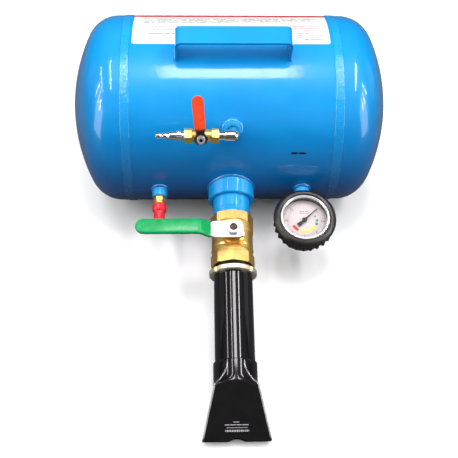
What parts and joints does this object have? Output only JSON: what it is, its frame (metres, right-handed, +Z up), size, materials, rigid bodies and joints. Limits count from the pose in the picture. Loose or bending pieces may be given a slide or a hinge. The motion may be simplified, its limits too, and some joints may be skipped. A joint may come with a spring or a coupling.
{
  "type": "tyre bead seating air tank",
  "caption": "Horizontal steel air tank with carry handle, ball-valved filling port, relief valve, pressure gauge, and a quarter-turn outlet valve feeding a barrel with a flat fan nozzle.",
  "frame": {"origin": "centre of the overall footprint, on the ground plane that the weld beads and the nozzle rest on", "axes": "+X along the tank towards the pressure gauge, +Y from the nozzle towards the tank, +Z up; the barrel runs out along -Y and 14.9 degrees down"},
  "size_m": [0.42, 0.5645, 0.2836],
  "materials": {
    "tank_paint": "gloss",
    "bung_paint": "gloss",
    "weld_paint": "gloss, rough weld under the paint",
    "label_film": "printed film",
    "valve_brass": "satin",
    "gland_brass": "turned",
    "zinc_yellow": "yellow zinc plate",
    "zinc_bright": "bright zinc plate",
    "lever_black": "satin",
    "steel_nickel": "nickel plate",
    "plug_chrome": "bright",
    "ball_chrome": "polished",
    "stem_steel": "turned",
    "ptfe": "waxy",
    "sleeve_green": "dipped vinyl",
    "sleeve_red": "dipped vinyl",
    "cap_red": "red anodised",
    "spring_steel": "drawn wire",
    "seal_rubber": "moulded",
    "boot_rubber": "moulded",
    "barrel_black": "gloss",
    "nozzle_black": "satin",
    "case_steel": "pressed",
    "bezel_white": "bright",
    "dial_face": "printed",
    "pointer_black": "matt",
    "lens_clear": "clear"
  },
  "bodies": {
    "tank": {"barrel_lock_ring": "zinc_yellow", "barrel_tube": "barrel_black", "bung_weld_fillets": "weld_paint", "carry_handle": "tank_paint", "gauge_bezel": "bezel_white", "gauge_boot": "boot_rubber", "gauge_bourdon_tube": "gland_brass", "gauge_bung": "bung_paint", "gauge_case": "case_steel", "gauge_dial": "dial_face", "gauge_lens": "lens_clear", "gauge_movement_frame": "gland_brass", "gauge_socket": "valve_brass", "girth_weld_beads": "weld_paint", "handle_weld_beads": "weld_paint", "inlet_bung": "bung_paint", "inlet_elbow": "steel_nickel", "inlet_plug": "plug_chrome", "inlet_valve_body": "valve_brass", "inlet_valve_end_cap": "valve_brass", "inlet_valve_gland_nut": "gland_brass", "inlet_valve_packing": "ptfe", "inlet_valve_seats": "ptfe", "instruction_label": "label_film", "main_outlet_bung": "bung_paint", "main_valve_body": "valve_brass", "main_valve_end_cap": "valve_brass", "main_valve_gland_nut": "gland_brass", "main_valve_packing": "ptfe", "main_valve_seats": "ptfe", "nozzle": "nozzle_black", "outlet_nipple": "bung_paint", "relief_bung": "bung_paint", "relief_spring": "spring_steel", "relief_spring_retainer": "gland_brass", "relief_valve_body": "valve_brass", "shell_seam_weld": "weld_paint", "tank_head_left": "tank_paint", "tank_head_right": "tank_paint", "tank_shell": "tank_paint"},
    "outlet_valve_lever": {"main_valve_lever": "zinc_bright", "main_valve_lever_sleeve": "sleeve_green", "main_valve_lever_nut": "zinc_bright", "main_valve_stem": "stem_steel", "main_valve_ball": "ball_chrome"},
    "inlet_valve_lever": {"inlet_valve_lever": "lever_black", "inlet_valve_lever_sleeve": "sleeve_red", "inlet_valve_lever_nut": "zinc_bright", "inlet_valve_stem": "stem_steel", "inlet_valve_ball": "ball_chrome"},
    "relief_pull": {"relief_cap": "cap_red", "relief_poppet": "gland_brass", "relief_seal": "seal_rubber"},
    "gauge_pointer": {"gauge_pointer": "pointer_black", "gauge_spindle": "stem_steel"},
    "gauge_sector": {"gauge_sector_gear": "gland_brass", "gauge_link": "stem_steel"}
  },
  "joints": [
    {"name": "outlet_valve_turn", "type": "hinge", "parent": "tank", "child": "outlet_valve_lever", "pos_m": [0, -0.05259, 0.11636], "axis": [0, -0.2564, 0.9666], "range_deg": [0, 90]},
    {"name": "inlet_valve_turn", "type": "hinge", "parent": "tank", "child": "inlet_valve_lever", "pos_m": [-0.0391, 0.00083, 0.21633], "axis": [0, -0.8648, 0.5021], "range_deg": [-4.5, 85.5]},
    {"name": "relief_pull", "type": "slide", "parent": "tank", "child": "relief_pull", "axis": [0, -0.9666, -0.2564], "range_m": [0, 0.003], "stiffness_N_per_m": 2500, "springref_m": -0.004, "deforming": ["relief_spring"]},
    {"name": "gauge_sector_turn", "type": "hinge", "parent": "tank", "child": "gauge_sector", "pos_m": [0.0792, -0.01328, 0.08127], "axis": [0, -0.2564, 0.9666], "range_deg": [0, 33.75], "stiffness_Nm_per_rad": 0.002, "springref_deg": -2.86},
    {"name": "gauge_pointer_turn", "type": "hinge", "parent": "tank", "child": "gauge_pointer", "pos_m": [0.0936, -0.01328, 0.08127], "axis": [0, -0.2564, 0.9666], "range_deg": [-270, 0]}
  ],
  "couplings": [
    {"joint": "gauge_pointer_turn", "follows": "gauge_sector_turn", "ratio": -8}
  ]
}
